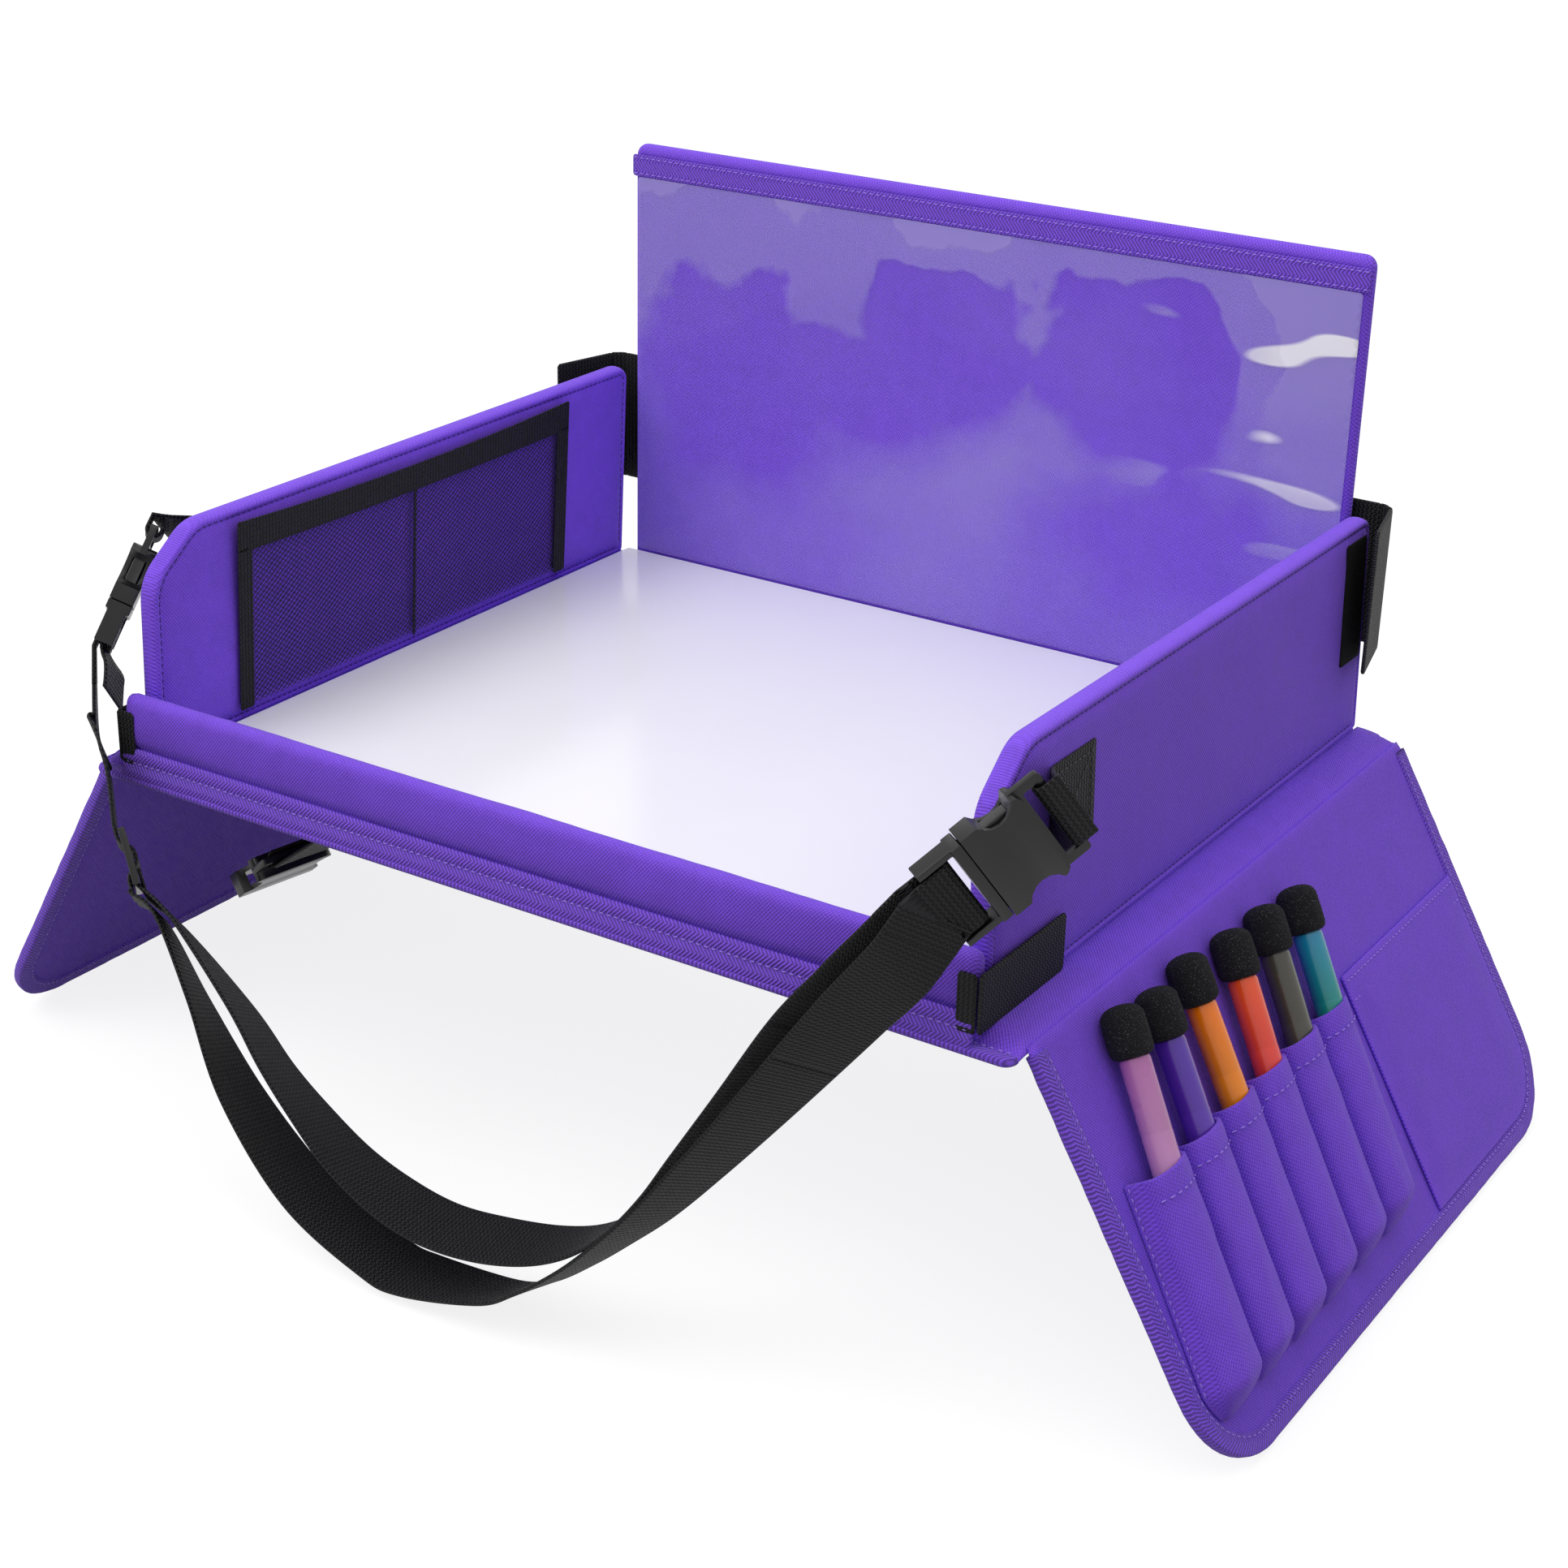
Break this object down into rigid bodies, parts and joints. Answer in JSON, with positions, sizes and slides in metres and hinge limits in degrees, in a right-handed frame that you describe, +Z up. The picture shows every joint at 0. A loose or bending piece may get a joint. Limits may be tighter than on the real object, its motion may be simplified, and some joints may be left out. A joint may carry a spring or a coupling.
{
  "type": "car seat tray table",
  "caption": "Soft-sided travel tray for a child's car seat: dry-erase top, folding walls and flaps, back panel with clear pocket, mesh pocket, marker sleeves and buckled strap.",
  "frame": {"origin": "middle of the part's footprint, on the surface its flaps stand on", "axes": "+X to the marker flap's side, -Y to the child's side with the strap, +Z up"},
  "size_m": [0.6644, 0.445, 0.3889],
  "materials": {
    "purple_cloth": "plain twill polyester",
    "purple_tape": "herringbone binding tape",
    "black_webbing": "woven webbing and hook and loop",
    "black_net": "open net",
    "black_plastic": "moulded, fine matt",
    "board": "hollow fluted board",
    "foam": "soft foam",
    "dry_erase": "smooth gloss film",
    "vinyl": "clear soft film",
    "cap_foam": "speckled foam wipe over the cap",
    "barrel_lilac": "smooth",
    "barrel_purple": "smooth",
    "barrel_orange": "smooth",
    "barrel_red": "smooth",
    "barrel_grey": "smooth",
    "barrel_teal": "smooth"
  },
  "bodies": {
    "tray": {"base_bottom_cover": "purple_cloth", "base_stiffener_board": "board", "dry_erase_top": "dry_erase", "front_lip_cover": "purple_cloth", "front_lip_foam": "foam", "front_flange_binding": "purple_tape", "left_corner_tab_anchor": "black_webbing", "right_corner_tab_anchor": "black_webbing", "strap_adjuster": "black_plastic", "strap_webbing": "black_webbing", "under_tray_webbing_tab": "black_webbing"},
    "back_panel": {"back_panel_board": "board", "back_panel_front_cover": "purple_cloth", "back_panel_rear_cover": "purple_cloth", "clear_window_pocket": "vinyl", "window_top_tape": "purple_tape", "left_hook_tab_anchor": "black_webbing", "right_hook_tab_anchor": "black_webbing"},
    "left_wall": {"left_wall_outer_cover": "purple_cloth", "left_wall_board": "board", "left_wall_inner_cover": "purple_cloth", "left_back_loop_patch": "black_webbing", "left_buckle_webbing": "black_webbing", "left_female_buckle": "black_plastic", "mesh_pocket_net": "black_net", "mesh_pocket_band": "black_webbing"},
    "left_male_buckle": {"left_male_buckle": "black_plastic"},
    "left_hook_tab": {"left_hook_tab": "black_webbing"},
    "left_corner_tab": {"left_corner_tab": "black_webbing"},
    "left_flap": {"left_flap_panel": "purple_cloth", "left_flap_binding": "purple_tape"},
    "right_wall": {"right_wall_outer_cover": "purple_cloth", "right_wall_board": "board", "right_wall_inner_cover": "purple_cloth", "right_back_loop_patch": "black_webbing", "right_buckle_webbing": "black_webbing", "right_female_buckle": "black_plastic"},
    "right_male_buckle": {"right_male_buckle": "black_plastic"},
    "right_hook_tab": {"right_hook_tab": "black_webbing"},
    "right_corner_tab": {"right_corner_tab": "black_webbing"},
    "right_flap": {"right_flap_panel": "purple_cloth", "right_flap_binding": "purple_tape", "big_flap_pocket": "purple_cloth", "pen_sleeve_strip": "purple_cloth"},
    "marker_1": {"marker_1": "barrel_lilac"},
    "marker_cap_1": {"marker_cap_1": "cap_foam"},
    "marker_2": {"marker_2": "barrel_purple"},
    "marker_cap_2": {"marker_cap_2": "cap_foam"},
    "marker_3": {"marker_3": "barrel_orange"},
    "marker_cap_3": {"marker_cap_3": "cap_foam"},
    "marker_4": {"marker_4": "barrel_red"},
    "marker_cap_4": {"marker_cap_4": "cap_foam"},
    "marker_5": {"marker_5": "barrel_grey"},
    "marker_cap_5": {"marker_cap_5": "cap_foam"},
    "marker_6": {"marker_6": "barrel_teal"},
    "marker_cap_6": {"marker_cap_6": "cap_foam"},
    "under_tray_buckle": {"under_tray_buckle": "black_plastic", "under_tray_buckle_loop": "black_webbing"}
  },
  "joints": [
    {"name": "back_panel_fold", "type": "hinge", "parent": "tray", "child": "back_panel", "pos_m": [0, 0.22065, 0.16261], "axis": [-1, 0, 0], "range_deg": [0, 90]},
    {"name": "left_wall_fold", "type": "hinge", "parent": "tray", "child": "left_wall", "pos_m": [-0.204, 0.03485, 0.17141], "axis": [0, 1, 0], "range_deg": [0, 70], "deforming": ["strap_webbing"]},
    {"name": "left_buckle_release", "type": "slide", "parent": "left_wall", "child": "left_male_buckle", "axis": [-0.069, -0.5762, -0.8144], "range_m": [0, 0.022], "deforming": ["strap_webbing"]},
    {"name": "left_hook_tab_peel", "type": "hinge", "parent": "back_panel", "child": "left_hook_tab", "pos_m": [-0.2185, 0.22155, 0.24141], "axis": [0, 0, -1], "range_deg": [0, 95]},
    {"name": "left_corner_tab_peel", "type": "hinge", "parent": "tray", "child": "left_corner_tab", "pos_m": [-0.2193, -0.15265, 0.18141], "axis": [0, 0, 1], "range_deg": [0, 85]},
    {"name": "left_flap_swing", "type": "hinge", "parent": "tray", "child": "left_flap", "pos_m": [-0.2364, 0.03485, 0.16151], "axis": [0, 1, 0], "range_deg": [-30.3, 59.7]},
    {"name": "right_wall_fold", "type": "hinge", "parent": "tray", "child": "right_wall", "pos_m": [0.204, 0.03485, 0.17141], "axis": [0, -1, 0], "range_deg": [0, 70], "deforming": ["strap_webbing"]},
    {"name": "right_buckle_release", "type": "slide", "parent": "right_wall", "child": "right_male_buckle", "axis": [-0.5021, -0.6312, -0.5912], "range_m": [0, 0.022], "deforming": ["strap_webbing"]},
    {"name": "right_hook_tab_peel", "type": "hinge", "parent": "back_panel", "child": "right_hook_tab", "pos_m": [0.2185, 0.22155, 0.24141], "axis": [0, 0, 1], "range_deg": [0, 95]},
    {"name": "right_corner_tab_peel", "type": "hinge", "parent": "tray", "child": "right_corner_tab", "pos_m": [0.2193, -0.15265, 0.18141], "axis": [0, 0, -1], "range_deg": [0, 85]},
    {"name": "right_flap_swing", "type": "hinge", "parent": "tray", "child": "right_flap", "pos_m": [0.2364, 0.03485, 0.16151], "axis": [0, -1, 0], "range_deg": [-30.3, 59.7]},
    {"name": "marker_1_slide", "type": "slide", "parent": "right_flap", "child": "marker_1", "axis": [0.4935, -0.2079, -0.8445], "range_m": [-0.03, 0.02]},
    {"name": "marker_cap_1_pull", "type": "slide", "parent": "marker_1", "child": "marker_cap_1", "axis": [0.4935, -0.2079, -0.8445], "range_m": [-0.018, 0]},
    {"name": "marker_2_slide", "type": "slide", "parent": "right_flap", "child": "marker_2", "axis": [0.4996, -0.1392, -0.855], "range_m": [-0.03, 0.02]},
    {"name": "marker_cap_2_pull", "type": "slide", "parent": "marker_2", "child": "marker_cap_2", "axis": [0.4996, -0.1392, -0.855], "range_m": [-0.018, 0]},
    {"name": "marker_3_slide", "type": "slide", "parent": "right_flap", "child": "marker_3", "axis": [0.5018, -0.1045, -0.8587], "range_m": [-0.03, 0.02]},
    {"name": "marker_cap_3_pull", "type": "slide", "parent": "marker_3", "child": "marker_cap_3", "axis": [0.5018, -0.1045, -0.8587], "range_m": [-0.018, 0]},
    {"name": "marker_4_slide", "type": "slide", "parent": "right_flap", "child": "marker_4", "axis": [0.4935, -0.2079, -0.8445], "range_m": [-0.03, 0.02]},
    {"name": "marker_cap_4_pull", "type": "slide", "parent": "marker_4", "child": "marker_cap_4", "axis": [0.4935, -0.2079, -0.8445], "range_m": [-0.018, 0]},
    {"name": "marker_5_slide", "type": "slide", "parent": "right_flap", "child": "marker_5", "axis": [0.4935, -0.2079, -0.8445], "range_m": [-0.03, 0.02]},
    {"name": "marker_cap_5_pull", "type": "slide", "parent": "marker_5", "child": "marker_cap_5", "axis": [0.4935, -0.2079, -0.8445], "range_m": [-0.018, 0]},
    {"name": "marker_6_slide", "type": "slide", "parent": "right_flap", "child": "marker_6", "axis": [0.4935, -0.2079, -0.8445], "range_m": [-0.03, 0.02]},
    {"name": "marker_cap_6_pull", "type": "slide", "parent": "marker_6", "child": "marker_cap_6", "axis": [0.4935, -0.2079, -0.8445], "range_m": [-0.018, 0]},
    {"name": "under_tray_buckle_swing", "type": "hinge", "parent": "tray", "child": "under_tray_buckle", "pos_m": [-0.1115, -0.10115, 0.15821], "axis": [0, 1, 0], "range_deg": [-115, 25]}
  ]
}
